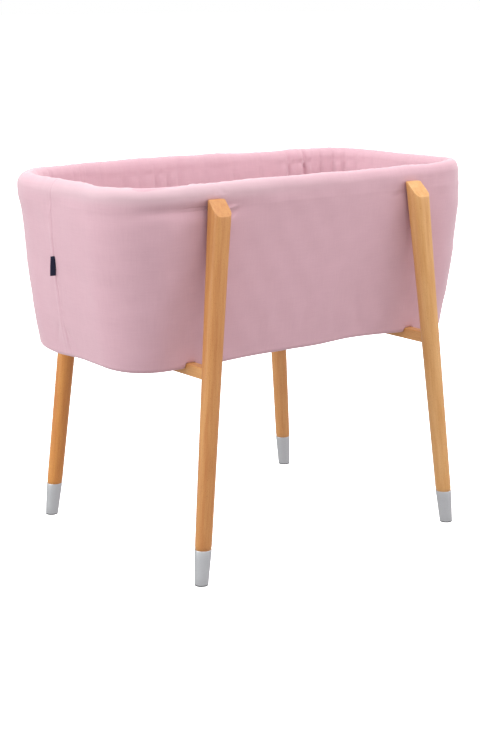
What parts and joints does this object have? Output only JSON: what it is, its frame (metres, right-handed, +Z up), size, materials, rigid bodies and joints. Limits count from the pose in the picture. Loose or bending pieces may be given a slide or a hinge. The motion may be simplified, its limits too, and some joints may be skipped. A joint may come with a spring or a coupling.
{
  "type": "moses basket",
  "caption": "Padded fabric baby basket with a rolled rim on a stand of splayed wooden legs with metal ferrules and crossbars.",
  "frame": {"origin": "on the floor, under the middle of the basket and of the four feet", "axes": "+Z up, +X along the basket's length to its right end, -Y towards its front"},
  "size_m": [0.914, 0.5824, 0.757],
  "materials": {
    "beech": "oiled satin beech",
    "ferrule_metal": "satin silver grey",
    "glide_plastic": "moulded dark grey",
    "hoop_steel": "white powder coat",
    "zinc_steel": "bright zinc plate",
    "foam": "open cell foam",
    "cover_cotton": "dusty pink plain weave cotton",
    "board": "raw fibreboard",
    "lining_cotton": "padded dusty pink cotton",
    "label_weave": "dark navy woven tape, blank",
    "sheet_cotton": "white cotton jersey"
  },
  "bodies": {
    "basket": {"leg_front_left": "beech", "ferrule_front_left": "ferrule_metal", "glide_front_left": "glide_plastic", "leg_front_right": "beech", "ferrule_front_right": "ferrule_metal", "glide_front_right": "glide_plastic", "leg_back_left": "beech", "ferrule_back_left": "ferrule_metal", "glide_back_left": "glide_plastic", "leg_back_right": "beech", "ferrule_back_right": "ferrule_metal", "glide_back_right": "glide_plastic", "crossbar_left": "beech", "rim_bow_left": "hoop_steel", "crossbar_right": "beech", "rim_bow_right": "hoop_steel", "rim_rail_front": "hoop_steel", "rim_rail_back": "hoop_steel", "crossbar_dowels": "beech", "rim_joiners": "hoop_steel", "rim_buttons": "zinc_steel", "rim_foam": "foam", "leg_bolts": "zinc_steel", "leg_spacers": "glide_plastic", "leg_inserts": "zinc_steel", "outer_cover": "cover_cotton", "base_board": "board", "lining": "lining_cotton", "label_tag": "label_weave"},
    "mattress": {"mattress_core": "foam", "mattress_cover": "sheet_cotton"}
  },
  "joints": [
    {"name": "mattress_lift", "type": "slide", "parent": "basket", "child": "mattress", "axis": [0, 0, 1], "range_m": [0, 0.36]}
  ]
}
